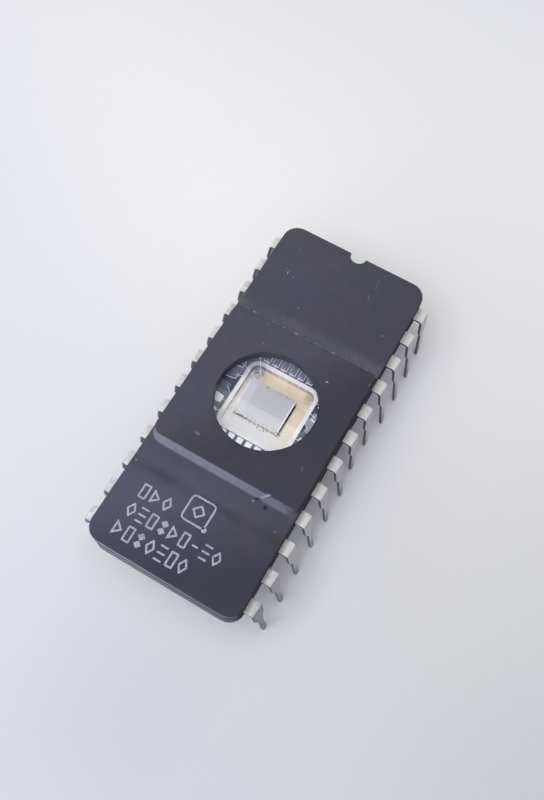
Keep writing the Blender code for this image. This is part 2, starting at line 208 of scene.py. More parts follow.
def dark_ceramic():
    """Fired ceramic: fine grain, faint clouds and dust past the far bevel. Painted shade darkens the block towards the
    near right, the ends towards the right, the sides and a round spot at the pit. Painted sheen lightens the near end's
    left, a painted highlight lies on one side of the near groove, and the near bevel, bands on the near wall and the
    far crest are rubbed pale and painted with light as well.
    """
    material, tree, shader = new_material("dark_ceramic_finish", Specular_IOR_Level=0.35)
    where = millimetres(tree)
    x, y, z = axes(tree, where)
    aside, ahead, upward = facings(tree)
    clouds = noise(tree, where, 3.2, 3.0)
    mottle = noise(tree, where, 0.7, 3.0, 0.6)
    grain = noise(tree, where, 0.10, 3.0, 0.6)
    tone = blend(tree, spread(tree, clouds, 0.38, 0.62), colour(0.068, 0.062, 0.085), colour(0.060, 0.062, 0.088))
    # Painted sheen: the near end is lighter and bluer towards the left.
    blue = times(tree, spread(tree, x, -7.0, 4.0, 1.0, 0.0), spread(tree, y, -7.4, -6.9, 1.0, 0.0), 0.7)
    tone = blend(tree, blue, tone, colour(0.064, 0.071, 0.132))
    tone = blend(tree, spread(tree, mottle, 0.35, 0.75, 0.0, 0.45), tone, colour(0.082, 0.080, 0.112))
    tone = blend(tree, spread(tree, grain, 0.45, 0.8, 0.0, 0.5), tone, colour(0.094, 0.091, 0.124))
    # Painted shade: the block darkens towards its near right, the far end towards the right, the near end towards its
    # near right corner, and the whole ceramic a little.
    corner = plus(tree, times(tree, x, 0.15), times(tree, y, -0.10))
    on_block = band(tree, y, CREST_NEAR_Y, CREST_FAR_Y, 0.1)
    dim = times(tree, spread(tree, corner, -0.7, 0.5), on_block, 0.60)
    to_right = spread(tree, x, -6.0, 7.5)
    far_dim = plus(tree, times(tree, to_right, spread(tree, y, FOOT_FAR_Y, FOOT_FAR_Y + 1.5), 0.24), 0.08)
    near_end = spread(tree, y, -7.2, -6.8, 1.0, 0.0)
    towards_corner = plus(tree, times(tree, x, 0.6), times(tree, y, -1.0))
    near_dim = times(tree, spread(tree, towards_corner, 7.5, 16.5, 0.0, 0.78), near_end)
    deep = blend(tree, near_end, colour(0.008, 0.008, 0.016), colour(0.008, 0.010, 0.026))
    tone = blend(tree, most(tree, dim, far_dim, near_dim), tone, deep)
    handled = times(tree, band(tree, y, -9.45, -8.75, 0.35), spread(tree, clouds, 0.3, 0.6, 0.3, 0.8))
    tone = blend(tree, times(tree, handled, 0.6), tone, colour(0.014, 0.015, 0.020))

    drifting = plus(tree, y, times(tree, plus(tree, clouds, mottle, -1.0), 1.6))
    past_crest = spread(tree, y, CREST_FAR_Y - 0.02, CREST_FAR_Y + 0.10)
    dust = times(tree, past_crest, spread(tree, drifting, FOOT_FAR_Y - 0.1, FOOT_FAR_Y + 1.2, 1.0, 0.0))
    streaks = noise(tree, millimetres(tree, (1, 0.7, 1)), 0.3, 3.0, 0.7)
    dust = times(tree, dust, spread(tree, streaks, 0.3, 0.7, 0.45, 1.0))
    tone = blend(tree, times(tree, dust, 0.75), tone, colour(0.115, 0.112, 0.145))
    # The broken pale line along the far crest is wear and a painted highlight.
    high = spread(tree, z, BLOCK_TOP - 0.10, BLOCK_TOP - 0.03)
    crest_wear_and_highlight = spread(tree, noise(tree, where, 0.35, 3.0, 0.7), 0.46, 0.62)
    crest = times(tree, band(tree, y, CREST_FAR_Y - 0.03, CREST_FAR_Y + 0.07, 0.03), high, crest_wear_and_highlight)
    tone = blend(tree, times(tree, crest, 0.75), tone, colour(0.24, 0.24, 0.29))

    # Near bevel: pitted, rubbed pale ceramic with painted sheen from the light on the near side, fading towards the
    # right and again past the groove.
    fade = times(tree, spread(tree, x, -6.5, 6.5, 1.04, 0.58), spread(tree, x, 3.9, 4.3, 1.0, 0.75))
    tip = plus(tree, y, times(tree, x, 0.36), BEVEL_TIP)
    fade = times(tree, fade, spread(tree, tip, -0.08, 0.08, 1.0, 0.15))
    pitted = noise(tree, where, 0.2, 2.0, 0.7)
    fade = times(tree, fade, spread(tree, pitted, 0.52, 0.66, 1.0, 0.6))
    bevel = times(tree, spread(tree, ahead, -0.62, -0.40, 1.0, 0.0), spread(tree, upward, 0.3, 0.5), fade)
    raised = spread(tree, z, END_TOP + 0.03, END_TOP + 0.08)
    bevel = times(tree, bevel, raised, spread(tree, mottle, 0.3, 0.7, 0.8, 1.0))
    tone = blend(tree, bevel, tone, colour(0.150, 0.166, 0.215))
    # Painted highlight: one side of the groove across the near bevel is lit pale.
    groove = plus(tree, times(tree, math_node(tree, "SUBTRACT", y, GROOVE_PLACE[1]), GROOVE_ACROSS[1]),
                  times(tree, math_node(tree, "SUBTRACT", x, GROOVE_PLACE[0]), GROOVE_ACROSS[0]))
    flank = times(tree, band(tree, groove, -0.02, 0.14, 0.03), spread(tree, ahead, -0.3, -0.1, 1.0, 0.0),
                  band(tree, x, GROOVE_PLACE[0] - 0.5, GROOVE_PLACE[0] + 0.42, 0.12), raised)
    tone = blend(tree, times(tree, flank, spread(tree, mottle, 0.35, 0.6, 0.3, 0.9)), tone, colour(0.30, 0.31, 0.36))
    # Painted shade: a near black spot at the pit.
    pit = spot(tree, x, y, PIT_PLACE, 0.17, 0.10)
    tone = blend(tree, times(tree, pit, 0.7), tone, colour(0.006, 0.006, 0.009))

    # Painted shade: faces that look sideways are darkened nearly to black, and are also rougher.
    side = spread(tree, math_node(tree, "ABSOLUTE", aside), 0.75, 0.95)
    tone = blend(tree, side, tone, colour(0.004, 0.005, 0.010))
    # The near wall's pale bands, low on the lid and on the base's top edge, are rubbed and also painted light, fading
    # towards the right.
    near_wall = spread(tree, ahead, -0.95, -0.85, 1.0, 0.0)
    rubbed = most(tree, spread(tree, z, LID_LOW.z + 0.40, LID_LOW.z + 0.75),
                  times(tree, band(tree, z, BASE_HIGH.z - 0.85, BASE_HIGH.z + 0.1, 0.1), 0.6))
    rubbed = times(tree, rubbed, spread(tree, x, -6.0, 6.0, 1.0, 0.35))
    wall_tone = blend(tree, rubbed, colour(0.028, 0.029, 0.048), colour(0.23, 0.235, 0.30))
    tone = blend(tree, times(tree, near_wall, 0.9), tone, wall_tone)
    join(tree, shader.inputs["Base Color"], tone)
    rough = spread(tree, clouds, 0.3, 0.7, 0.46, 0.56)
    join(tree, shader.inputs["Roughness"], plus(tree, rough, times(tree, side, 0.3)))
    join(tree, shader.inputs["Normal"], bump(tree, grain, 0.006, bump(tree, mottle, 0.010)))
    return material


def sealing_glass():
    """Dark glassy layer, glossier than the ceramic and faintly rippled where it flowed. Where it shows through the
    window it carries painted reflection: paler at the far side, with glints at the far left and a lilac patch at the
    right.
    """
    material, tree, shader = new_material("sealing_glass_finish")
    where = millimetres(tree)
    flow = noise(tree, where, 0.5, 3.0, 0.6)
    tone = blend(tree, spread(tree, flow, 0.35, 0.7), colour(0.036, 0.041, 0.066), colour(0.062, 0.070, 0.102))
    x, y, z = axes(tree, where)
    seen = spot(tree, x, y, (0.0, 0.0), 4.9, 0.2)
    # Painted reflection: seen through the window, the far side is paler.
    far = times(tree, spread(tree, plus(tree, y, times(tree, x, -0.5)), 2.4, 3.6), seen,
                spread(tree, flow, 0.3, 0.6, 0.6, 1.0))
    tone = blend(tree, far, tone, colour(0.160, 0.168, 0.230))
    fine = noise(tree, where, 0.09, 2.0, 0.6)
    # Painted glints: bright flecks at the far left of the window.
    frit_glints = times(tree, spread(tree, plus(tree, y, times(tree, x, -1.0)), 4.2, 5.2), seen,
                   spread(tree, fine, 0.60, 0.66))
    tone = blend(tree, frit_glints, tone, colour(0.50, 0.51, 0.58))
    # Painted reflection: a lilac patch at the right of the window.
    lilac = times(tree, spread(tree, x, 3.1, 3.2), band(tree, y, 0.3, 1.0, 0.1), seen)
    tone = blend(tree, times(tree, lilac, 0.9), tone, colour(0.34, 0.33, 0.42))
    join(tree, shader.inputs["Base Color"], tone)
    join(tree, shader.inputs["Roughness"], spread(tree, flow, 0.3, 0.7, 0.30, 0.45))
    join(tree, shader.inputs["Normal"], bump(tree, flow, 0.02))
    return material


def window_glass():
    """Clear through its flat faces; the wall fused to the lid is dark."""
    material, tree, shader = new_material("window_glass_finish", IOR=1.46)
    flat = facing_up(tree, 0.93, 0.99)
    join(tree, shader.inputs["Transmission Weight"], flat)
    join(tree, shader.inputs["Metallic"], spread(tree, flat, 0.0, 1.0, 1.0, 0.0))
    join(tree, shader.inputs["Roughness"], spread(tree, flat, 0.0, 1.0, 0.6, 0.0))
    join(tree, shader.inputs["Base Color"], blend(tree, flat, colour(0.085, 0.090, 0.130), colour(0.985, 0.99, 1.0)))
    return material


def cavity_metal():
    """Plated lining: chalky white rim, and a satin floor that runs from silver to cream, the silver partly a painted
    reflection. Painted shade darkens the walls, the far corners and a strip along the die's right, and painted light
    makes the left strip and the wall that faces right pale.
    """
    material, tree, shader = new_material("cavity_metal_finish")
    where = millimetres(tree)
    x, y, z = axes(tree, where)
    clouds = noise(tree, where, 0.9, 3.0)
    fine = noise(tree, where, 0.12, 3.0, 0.6)
    flat = facing_up(tree)
    rim = spread(tree, z, PLATING_HIGH.z - 0.08, PLATING_HIGH.z - 0.03)
    # The floor runs from silver at the near left, partly a painted reflection of the light above, to cream at the far
    # right.
    lean = plus(tree, times(tree, x, 0.55), times(tree, y, 0.75), times(tree, clouds, 2.4))
    warm = spread(tree, lean, 0.0, 2.6)
    floor_tone = blend(tree, warm, colour(0.72, 0.72, 0.71), colour(0.80, 0.69, 0.52))
    blush = spread(tree, noise(tree, where, 1.6, 2.0), 0.45, 0.62)
    floor_tone = blend(tree, times(tree, blush, warm, 0.6), floor_tone, colour(0.86, 0.80, 0.56))
    # Painted light over a warm tone: the strip left of the die is pale, where the left wall would shade the floor.
    left_strip = spread(tree, x, DIE_LOW.x - 0.15, DIE_LOW.x + 0.15, 0.85, 0.0)
    floor_tone = blend(tree, left_strip, floor_tone, colour(0.84, 0.78, 0.71))
    # Painted shade: the upright walls are darker than the floor, and the wall that faces right is painted lit and pale.
    wall_tone = blend(tree, spread(tree, clouds, 0.35, 0.65), colour(0.30, 0.29, 0.30), colour(0.52, 0.48, 0.42))
    lit_wall = spread(tree, facings(tree)[0], 0.2, 0.6)
    wall_tone = blend(tree, times(tree, lit_wall, spread(tree, y, 0.0, 3.0, 1.0, 0.6)), wall_tone, colour(0.80, 0.78, 0.76))
    tone = blend(tree, flat, wall_tone, floor_tone)
    # Painted shade: blotches darken the far left inner corner.
    corner = spot(tree, x, y, (PLATING_LOW.x + 0.75, PLATING_HIGH.y - 0.65), 0.55, 0.35)
    far_left_corner_shade = times(tree, corner, spread(tree, noise(tree, where, 0.25, 2.0), 0.38, 0.58))
    tone = blend(tree, times(tree, far_left_corner_shade, 0.9), tone, colour(0.07, 0.06, 0.055))
    # Painted shade: the far right corner is greyed.
    other = spot(tree, x, y, (PLATING_HIGH.x - 0.75, PLATING_HIGH.y - 0.62), 0.45, 0.35)
    tone = blend(tree, times(tree, other, 0.6), tone, colour(0.24, 0.24, 0.25))
    # Painted shadow: a dark strip on the floor along the die's right side.
    beside = times(tree, band(tree, x, DIE_HIGH.x - 0.1, DIE_HIGH.x + 0.11, 0.03),
                   band(tree, y, DIE_LOW.y, DIE_HIGH.y - 0.1, 0.08), flat)
    tone = blend(tree, times(tree, beside, 0.85), tone, colour(0.05, 0.03, 0.03))
    tone = blend(tree, rim, tone, colour(0.775, 0.775, 0.79))
    # Painted shade: the far left corner, rim included, is darkened and blued.
    far_left_rim_shade = spot(tree, x, y, (PLATING_LOW.x + 0.2, PLATING_HIGH.y - 0.4), 1.2, 0.7)
    tone = blend(tree, times(tree, far_left_rim_shade, 0.6), tone, colour(0.24, 0.27, 0.34))
    join(tree, shader.inputs["Base Color"], tone)
    chalky = most(tree, rim, lit_wall, left_strip)
    join(tree, shader.inputs["Metallic"], times(tree, spread(tree, chalky, 0.0, 1.0, 1.0, 0.0), 0.65))
    join(tree, shader.inputs["Roughness"], spread(tree, rim, 0.0, 1.0, 0.36, 0.55))
    join(tree, shader.inputs["Normal"], bump(tree, fine, 0.006))
    return material


def die_paste():
    material, tree, shader = new_material("die_attach_finish", Metallic=0.3)
    where = millimetres(tree)
    fine = noise(tree, where, 0.08, 3.0)
    x, y, z = axes(tree, where)
    tone = blend(tree, fine, colour(0.30, 0.27, 0.22), colour(0.52, 0.47, 0.38))
    shaded = times(tree, spread(tree, x, DIE_HIGH.x - 0.04, DIE_HIGH.x), spread(tree, y, 1.5, 1.7, 1.0, 0.0))
    tone = blend(tree, shaded, tone, colour(0.012, 0.006, 0.008))
    join(tree, shader.inputs["Base Color"], tone)
    join(tree, shader.inputs["Roughness"], spread(tree, fine, 0.3, 0.7, 0.45, 0.65))
    join(tree, shader.inputs["Normal"], bump(tree, fine, 0.01))
    return material


def silicon():
    """Die face: a fine array, a lilac strip at its left, a paler strip below, and a painted highlight along its right
    edge; its sides are in painted shade, with part of the near side painted lit.
    """
    material, tree, shader = new_material("silicon_finish")
    where = millimetres(tree)
    x, y, z = axes(tree, where)
    array = times(tree, band(tree, x, -1.50, 1.60, 0.06), band(tree, y, -0.45, 1.72, 0.08))
    tone = blend(tree, array, colour(0.575, 0.575, 0.59), colour(0.565, 0.565, 0.575))
    left = spread(tree, x, -1.62, -1.50, 1.0, 0.0)
    upper_left = times(tree, left, spread(tree, y, -1.0, 1.2, 0.6, 0.9))
    tone = blend(tree, upper_left, tone, colour(0.64, 0.63, 0.71))
    fine = noise(tree, where, 0.11, 2.0, 0.6)
    rows = most(tree, spread(tree, y, 1.42, 1.52), spread(tree, y, -1.16, -1.08, 1.0, 0.0))
    marks = times(tree, rows, spread(tree, fine, 0.56, 0.64))
    tone = blend(tree, times(tree, marks, 0.55), tone, colour(0.16, 0.15, 0.20))
    # Painted highlight: a white line along the die's right edge.
    edge = times(tree, spread(tree, x, 1.68, 1.72), 0.8)
    tone = blend(tree, edge, tone, colour(0.95, 0.94, 0.97))
    # Painted shade: the die's sides are dark, and part of its near side is painted lit.
    ahead = facings(tree)[1]
    near_side = spread(tree, ahead, -0.8, -0.6, 1.0, 0.0)
    lit = times(tree, near_side, spread(tree, plus(tree, x, fine), -0.9, 0.3))
    side_tone = blend(tree, lit, colour(0.012, 0.010, 0.016), colour(0.62, 0.60, 0.60))
    face = facing_up(tree)
    tone = blend(tree, face, side_tone, tone)
    join(tree, shader.inputs["Base Color"], tone)
    join(tree, shader.inputs["Metallic"], times(tree, face, 0.6))
    join(tree, shader.inputs["Roughness"], spread(tree, array, 0.0, 1.0, 0.34, 0.30))
    return material


def tinned_metal():
    """Leads: dull tin outside the body, bright aluminium on the fingers, darker towards the tips. Painted shade dulls
    the left row and the near right leads, the legs' upright faces carry painted reflection, and the fingers carry
    painted highlights and reflections.
    """
    material, tree, shader = new_material("tinned_lead_finish")
    where = millimetres(tree)
    x, y, z = axes(tree, where)
    outside = spread(tree, math_node(tree, "ABSOLUTE", x), HALF_WIDTH - 1.2, HALF_WIDTH - 0.8)
    clouds = noise(tree, where, 0.8, 3.0)
    brushed = noise(tree, millimetres(tree, (1, 1, 0.25)), 0.12, 3.0, 0.6)
    tin = blend(tree, spread(tree, clouds, 0.35, 0.65), colour(0.80, 0.78, 0.73), colour(0.92, 0.90, 0.85))
    tin = blend(tree, spread(tree, brushed, 0.55, 0.75, 0.0, 0.35), tin, colour(0.66, 0.65, 0.65))
    hue = noise(tree, where, 1.7, 1.0)
    tin = blend(tree, spread(tree, hue, 0.50, 0.62, 0.0, 0.4), tin, colour(0.86, 0.77, 0.76))
    tin = blend(tree, spread(tree, hue, 0.38, 0.48, 0.4, 0.0), tin, colour(0.84, 0.83, 0.70))
    aside, ahead, upward = facings(tree)
    blotches = noise(tree, where, 0.45, 3.0, 0.6)
    # Painted shade: blotches dull the left row to grey.
    left_row_shade = times(tree, spread(tree, x, -1.0, 1.0, 1.0, 0.12), spread(tree, blotches, 0.35, 0.65, 0.3, 0.85))
    tin = blend(tree, left_row_shade, tin, colour(0.50, 0.50, 0.495))
    by_wall = times(tree, spread(tree, x, HALF_WIDTH + 0.10, HALF_WIDTH + 0.50, 1.0, 0.0),
                    spread(tree, x, 0.0, 1.0), spread(tree, y, -13.5, 4.0, 1.0, 0.45))
    tin = blend(tree, times(tree, by_wall, spread(tree, blotches, 0.35, 0.60, 0.5, 0.9)), tin, colour(0.34, 0.33, 0.31))
    # Painted shade: the right leads darken towards the near end, in blotches.
    near_right_shade = times(tree, spread(tree, x, 0.0, 1.0), spread(tree, y, -14.2, -9.5, 0.6, 0.0))
    tin = blend(tree, times(tree, near_right_shade, spread(tree, blotches, 0.3, 0.6, 0.6, 1.0)), tin, colour(0.40, 0.40, 0.42))
    # Painted reflection: the legs' upright faces are darker and bluer, like the shaded table they mirror.
    leg = spread(tree, upward, 0.35, 0.75, 1.0, 0.0)
    tin = blend(tree, times(tree, leg, 0.8), tin, blend(tree, brushed, colour(0.28, 0.285, 0.32), colour(0.42, 0.425, 0.47)))
    # Painted shade: dark streaks along the brushing on the near right legs.
    streaked = times(tree, near_right_shade, leg, spread(tree, brushed, 0.40, 0.58, 1.4, 0.5))
    tin = blend(tree, streaked, tin, colour(0.09, 0.09, 0.115))
    low = spread(tree, z, 1.1, 2.3, 1.0, 0.0)
    tin = blend(tree, times(tree, low, 0.7), tin, colour(0.20, 0.20, 0.23))
    # The leads' narrow faces, which look along the rows, are darkened.
    narrow_faces = spread(tree, math_node(tree, "ABSOLUTE", ahead), 0.6, 0.85)
    tin = blend(tree, times(tree, narrow_faces, 0.85), tin, colour(0.06, 0.06, 0.08))
    # Painted highlight: the fingers' rounded edges are near white.
    rounded = spread(tree, upward, 0.90, 0.98, 1.0, 0.0)
    finger = blend(tree, rounded, colour(0.80, 0.81, 0.84), colour(0.95, 0.95, 0.97))
    # Painted reflection: the far fingers and the left ones from the middle up are dark blue-grey, the right middle one
    # lilac and the lower left ones white.
    left = spread(tree, x, -3.2, -3.0, 1.0, 0.0)
    left_dark_reflection = times(tree, left, band(tree, y, -0.55, 0.55, 0.05))
    dark_reflection = most(tree, spread(tree, y, 3.0, 3.3), times(tree, left, spread(tree, y, 0.55, 0.70)))
    dark_reflection = most(tree, left_dark_reflection, times(tree, dark_reflection, spread(tree, rounded, 0.0, 1.0, 1.0, 0.0)))
    finger = blend(tree, dark_reflection, finger, colour(0.135, 0.145, 0.205))
    lilac = times(tree, spread(tree, x, 3.1, 3.2), band(tree, y, -0.50, 0.60, 0.05))
    finger = blend(tree, lilac, finger, colour(0.34, 0.33, 0.42))
    white = times(tree, left, spread(tree, y, -0.60, -0.55, 0.8, 0.0))
    finger = blend(tree, white, finger, colour(0.80, 0.80, 0.79))
    painted_finger_light = most(tree, times(tree, rounded, 0.8), dark_reflection, lilac, white)
    tone = blend(tree, outside, finger, tin)
    join(tree, shader.inputs["Base Color"], tone)
    dull = times(tree, outside, spread(tree, leg, 0.0, 1.0, 0.75, 0.4))
    chalky = times(tree, painted_finger_light, spread(tree, outside, 0.0, 1.0, 1.0, 0.0))
    join(tree, shader.inputs["Metallic"], spread(tree, most(tree, dull, chalky), 0.0, 1.0, 1.0, 0.0))
    join(tree, shader.inputs["Roughness"], spread(tree, most(tree, outside, chalky), 0.0, 1.0, 0.18, 0.42))
    tilt = noise(tree, millimetres(tree, offset=(0.4, 0.0, 0.0)), 1.1, 0.0)
    scored = times(tree, brushed, outside)
    join(tree, shader.inputs["Normal"], bump(tree, tilt, 0.008, bump(tree, scored, 0.003)))
    return material


def wire_metal():
    material, tree, shader = new_material("bond_wire_finish", Metallic=0.15)
    where = millimetres(tree)
    x, y, z = axes(tree, where)
    fine = noise(tree, where, 0.05, 2.0)
    tone = blend(tree, fine, colour(0.76, 0.75, 0.72), colour(0.88, 0.87, 0.84))
    inside_rim = times(tree, spread(tree, y, 2.7, 2.95, 1.0, 0.0), spread(tree, x, 2.65, 2.9, 1.0, 0.0))
    over_cream = times(tree, spread(tree, x, -1.7, -1.2), spread(tree, y, 0.4, 1.0), inside_rim, 0.9)
    tone = blend(tree, over_cream, tone, colour(0.68, 0.61, 0.49))
    join(tree, shader.inputs["Base Color"], tone)
    join(tree, shader.inputs["Roughness"], spread(tree, fine, 0.3, 0.7, 0.45, 0.6))
    return material


def ink():
    """Pale lilac ink, rubbed thin in places so that the ceramic darkens it."""
    material, tree, shader = new_material("ink_finish", Roughness=0.6)
    where = millimetres(tree)
    fine = noise(tree, where, 0.10, 3.0, 0.7)
    rubbed = noise(tree, where, 1.4, 2.0)
    thin = plus(tree, spread(tree, fine, 0.40, 0.66, 0.0, 0.55), spread(tree, rubbed, 0.4, 0.7, 0.0, 0.25))
    tone = blend(tree, thin, colour(0.43, 0.445, 0.56), colour(0.12, 0.12, 0.17))
    # Painted glints: rare bright flecks in the ink.
    ink_glint = spread(tree, fine, 0.34, 0.38, 1.0, 0.0)
    join(tree, shader.inputs["Base Color"], blend(tree, ink_glint, tone, colour(0.82, 0.82, 0.88)))
    join(tree, shader.inputs["Normal"], bump(tree, fine, 0.004))
    return material


def pale_wear_and_glint():
    material, tree, shader = new_material("pale_wear_and_glint_finish", Roughness=0.7)
    fine = noise(tree, millimetres(tree), 0.06, 2.0)
    join(tree, shader.inputs["Base Color"], blend(tree, fine, colour(0.15, 0.15, 0.19), colour(0.38, 0.37, 0.43)))
    return material


def faint_wear_and_glint():
    material, tree, shader = new_material("faint_wear_and_glint_finish", Roughness=0.6)
    fine = noise(tree, millimetres(tree), 0.06, 2.0)
    join(tree, shader.inputs["Base Color"], blend(tree, fine, colour(0.07, 0.07, 0.09), colour(0.15, 0.145, 0.18)))
    return material


def dark_speck():
    material, tree, shader = new_material("debris_finish", Roughness=0.5)
    fine = noise(tree, millimetres(tree), 0.05, 2.0)
    join(tree, shader.inputs["Base Color"], blend(tree, fine, colour(0.02, 0.018, 0.02), colour(0.09, 0.085, 0.09)))
    return material


def table_top():
    """Pale matt table, painted a little lighter towards the light, with painted shadow tints beside and under the
    chip's right side.
    """
    material, tree, shader = new_material("pale_table", Roughness=0.65)
    where = millimetres(tree)
    x, y, z = axes(tree, where)
    # Painted light: the table is lighter towards the far left, greyer past the far end and cooler at the near left.
    along = plus(tree, times(tree, y, 0.75), times(tree, x, -1.0))
    tone = blend(tree, spread(tree, along, -62.0, 32.0), colour(0.53, 0.537, 0.546), colour(0.885, 0.872, 0.845))
    tone = blend(tree, spread(tree, y, 12.0, 70.0, 0.0, 0.62), tone, colour(0.67, 0.68, 0.70))
    cool = spread(tree, plus(tree, times(tree, y, -0.8), times(tree, x, -0.6)), -8.0, 22.0)
    tone = blend(tree, times(tree, cool, 0.5), tone, colour(0.68, 0.71, 0.78))
    # Painted shadow: lilac tints beside the chip's right side, and a darker one under it.
    right_side = times(tree, band(tree, x, 8.5, 13.0, 4.0), band(tree, y, -12.0, 12.0, 4.0))
    tone = blend(tree, times(tree, right_side, 0.35), tone, colour(0.75, 0.76, 0.81))
    close = times(tree, band(tree, x, 7.8, 10.5, 1.2), band(tree, y, -7.0, 15.0, 3.0))
    tone = blend(tree, times(tree, close, 0.8), tone, colour(0.81, 0.81, 0.86))
    under = times(tree, band(tree, x, 3.0, 7.0, 0.8), band(tree, y, -15.0, 16.0, 2.0))
    tone = blend(tree, times(tree, under, 0.8), tone, colour(0.66, 0.67, 0.76))
    fine = noise(tree, where, 1.2, 3.0)
    tone = blend(tree, times(tree, fine, 0.12), tone, colour(0.72, 0.73, 0.75))
    join(tree, shader.inputs["Base Color"], tone)
    return material


# Outlines in plan, as lists of points that run anticlockwise

def inset(outline, distance):
    """A convex outline moved inward by the same distance all round."""
    moved = []
    count = len(outline)
    for i in range(count):
        before, here, after = (Vector(outline[k % count]) for k in (i - 1, i, i + 1))
        first = (here - before).normalized()
        second = (after - here).normalized()
        inward = Vector((-first.y - second.y, first.x + second.x))
        moved.append(here + inward * distance / (1 + first.dot(second)))
    return moved


def soften(outline, radius):
    """Turns each corner into a short curve of three points."""
    softened = []
    count = len(outline)
    for i in range(count):
        before, here, after = (Vector(outline[k % count]) for k in (i - 1, i, i + 1))
        start = here + (before - here).normalized() * radius
        end = here + (after - here).normalized() * radius
        softened += [start, (start + end) / 4 + here / 2, end]
    return softened


def placed(outline, x, y, turn=0.0):
    c = cos(radians(turn))
    s = sin(radians(turn))
    return [Vector((x + c * p[0] - s * p[1], y + s * p[0] + c * p[1])) for p in outline]


def rectangle(width, height):
    x = width / 2
    y = height / 2
    return [(-x, -y), (x, -y), (x, y), (-x, y)]


def diamond(width, height):
    return [(0, -height / 2), (width / 2, 0), (0, height / 2), (-width / 2, 0)]


def wedge(width, height):
    return [(-width / 2, -height / 2), (width / 2, 0), (-width / 2, height / 2)]


def disc(radius, sides=16):
    return [(radius * cos(2 * pi * i / sides), radius * sin(2 * pi * i / sides)) for i in range(sides)]


# Thin closed solids

def raise_points(shape, outline, height):
    return [shape.verts.new((p[0] * MM, p[1] * MM, height * MM)) for p in outline]


def skin(shape, first, second):
    for i in range(len(first)):
        j = (i + 1) % len(first)
        shape.faces.new((first[i], first[j], second[j], second[i]))


def add_slab(shape, outline, low, high):
    bottom = raise_points(shape, outline, low)
    top = raise_points(shape, outline, high)
    shape.faces.new(list(reversed(bottom)))
    shape.faces.new(top)
    skin(shape, bottom, top)


def add_frame(shape, outline, stroke, low, high, softness):
    """A closed line of ink: the strip between an outline and the same outline moved inward."""
    outer = soften(outline, softness)
    inner = soften(inset(outline, stroke), softness / 2)
    loops = [raise_points(shape, outer, low), raise_points(shape, outer, high),
             raise_points(shape, inner, high), raise_points(shape, inner, low)]
    for first, second in zip(loops, loops[1:] + loops[:1]):
        skin(shape, first, second)


def add_piece(name, shape, material):
    bmesh.ops.recalc_face_normals(shape, faces=shape.faces)
    mesh = bpy.data.meshes.new(name)
    shape.to_mesh(mesh)
    shape.free()
    mesh.materials.append(material)
    piece = bpy.data.objects.new(name, mesh)
    bpy.context.scene.collection.objects.link(piece)
    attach(piece, BODY)
    return piece


# Ink on the near end: rows of plain shapes and one round-cornered emblem

INK_STROKE = 0.15
INK_SINK = 0.002
INK_HEIGHT = 0.008
SHAPE_WIDTH = 0.66
INK_SOFTNESS = 0.10
# Each row: x of the first place, y of the middle, pitch, height, and its shapes from left to right
ROWS = (
    (-4.25, -10.80, 0.98, 1.20, ("box", "wedge", "diamond")),
    (-4.35, -12.45, 0.92, 1.20, ("diamond", "bars", "box", "twin", "wedge", "box", "dash", "bars", "diamond")),
    (-4.42, -14.13, 0.93, 1.25, ("wedge", "box", "twin", "diamond", "bars", "box", "diamond")),
)
EMBLEM_PLACE = (0.05, -10.10)
EMBLEM_SIZE = 2.15
EMBLEM_CORE = 1.15
EMBLEM_DOT_PLACE = (1.10, -11.10)
EMBLEM_DOT_RADIUS = 0.22


def add_ink_shape(shape, kind, x, y, height):
    low = END_TOP - INK_SINK
    high = END_TOP + INK_HEIGHT
    if kind == "bars":
        for step in (-1, 0, 1):
            bar = rectangle(SHAPE_WIDTH, INK_STROKE)
            add_slab(shape, soften(placed(bar, x, y + step * (height - INK_STROKE) / 2), 0.06), low, high)
    elif kind == "dash":
        add_slab(shape, soften(placed(rectangle(SHAPE_WIDTH * 0.8, INK_STROKE), x, y), 0.06), low, high)
    elif kind == "twin":
        for step in (-1, 1):
            outline = placed(diamond(SHAPE_WIDTH, height / 2), x, y + step * height / 4)
            add_slab(shape, soften(outline, 0.07), low, high)
    else:
        outlines = {"box": rectangle(SHAPE_WIDTH, height), "wedge": wedge(SHAPE_WIDTH * 1.1, height),
                    "diamond": diamond(SHAPE_WIDTH * 1.2, height * 1.05)}
        add_frame(shape, placed(outlines[kind], x, y), INK_STROKE, low, high, INK_SOFTNESS)


def make_ink():
    shape = bmesh.new()
    for first_x, y, pitch, height, kinds in ROWS:
        for place, kind in enumerate(kinds):
            add_ink_shape(shape, kind, first_x + place * pitch, y, height)
    low = END_TOP - INK_SINK
    high = END_TOP + INK_HEIGHT
    plate = placed(rectangle(EMBLEM_SIZE, EMBLEM_SIZE), *EMBLEM_PLACE)
    add_frame(shape, plate, INK_STROKE, low, high, 0.4)
    core = placed(diamond(EMBLEM_CORE, EMBLEM_CORE), *EMBLEM_PLACE)
    add_frame(shape, core, INK_STROKE, low, high, INK_SOFTNESS)
    add_slab(shape, placed(disc(EMBLEM_DOT_RADIUS), *EMBLEM_DOT_PLACE), low, high)
    add_piece("ink_shapes", shape, ink())


# Scuffs and specks, some of them painted glints along the far crest, each as x, y, length, width and turn, on the
# block's top or on an end

SCUFF_HEIGHT = 0.004
